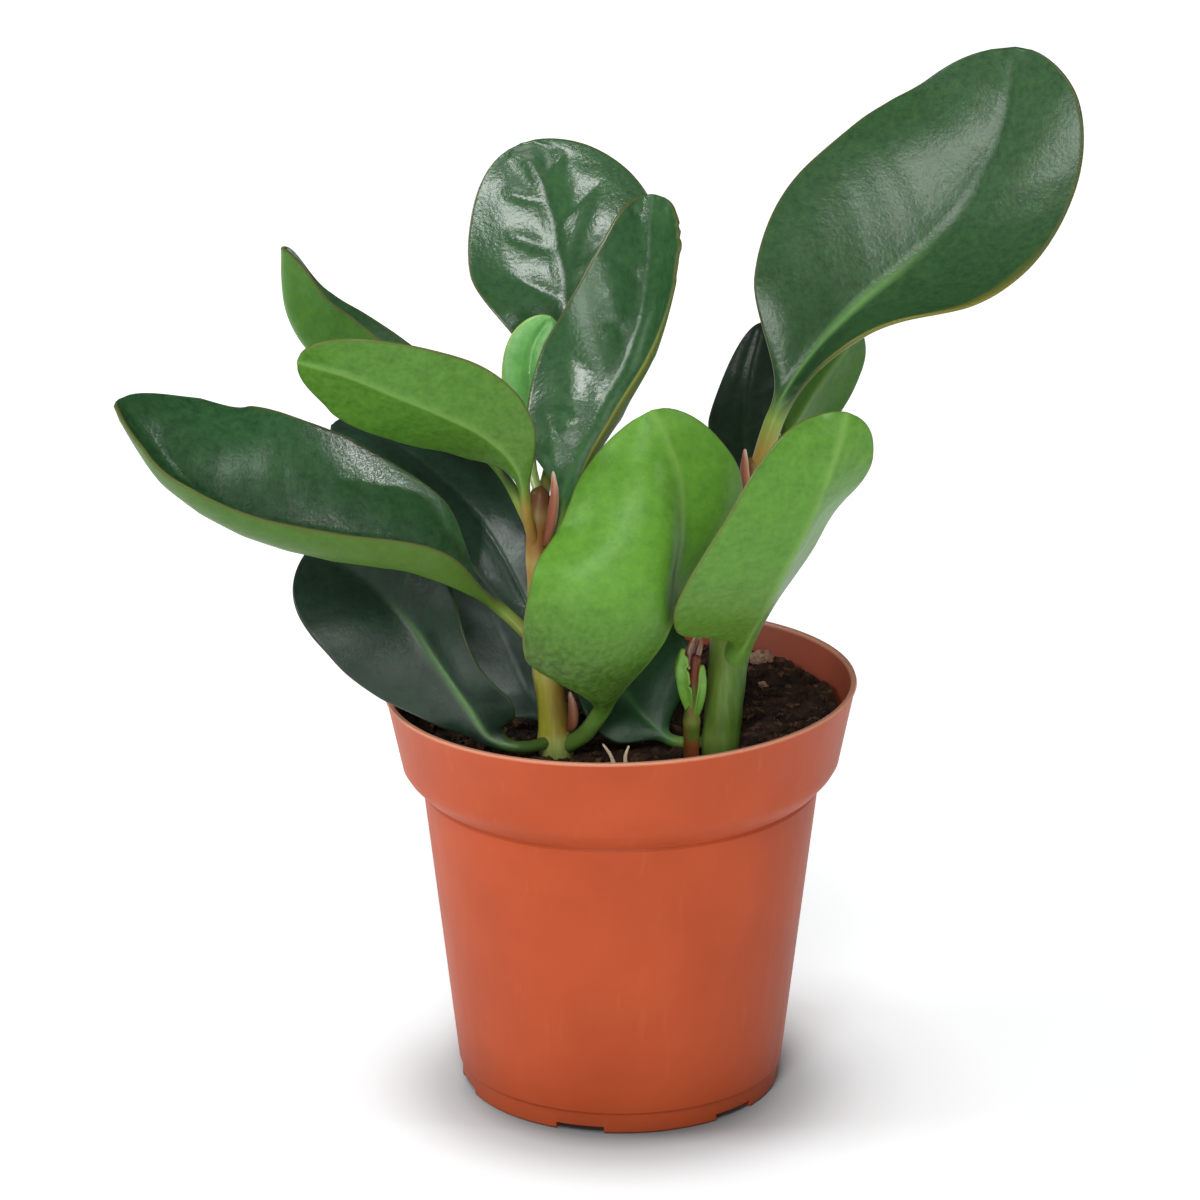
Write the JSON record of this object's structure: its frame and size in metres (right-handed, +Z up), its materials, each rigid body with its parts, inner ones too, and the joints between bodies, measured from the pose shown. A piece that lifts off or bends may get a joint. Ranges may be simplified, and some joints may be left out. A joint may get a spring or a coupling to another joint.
{
  "type": "potted plant",
  "caption": "Young peperomia with thick, oval, cupped leaves on short stems, growing in potting mix in a thin tapered nursery pot with a stepped rim band.",
  "frame": {"origin": "Centre of the pot's underside, on the plane it stands on.", "axes": "Z up along the pot's axis. X runs to the right and -Y faces the viewer, as in the source picture."},
  "size_m": [0.2183, 0.1176, 0.2434],
  "materials": {
    "pot": "satin moulded plastic",
    "soil": "rough, crumbly, matt",
    "stem": "smooth, slightly glossy",
    "bud": "satin",
    "leaf": "waxy, glossy above, satin below",
    "young_leaf": "waxy, glossy"
  },
  "bodies": {
    "root": {"pot": "pot", "soil": "soil", "stem_left": "stem", "stem_right": "stem", "side_shoot": "stem", "bud_left_top": "bud", "bud_left_base": "bud", "bud_right": "bud", "leaf_right_big": "leaf", "leaf_right_front": "leaf", "leaf_right_back": "leaf", "leaf_right_dark": "leaf", "leaf_centre_front": "leaf", "leaf_centre_young": "young_leaf", "leaf_top_round": "leaf", "leaf_top_tall": "leaf", "leaf_left_upper": "leaf", "leaf_left_top": "leaf", "leaf_left_long": "leaf", "leaf_left_shaded": "leaf", "leaf_low_left": "leaf", "leaf_low_inner": "leaf", "leaf_low_centre": "leaf"}
  },
  "joints": []
}
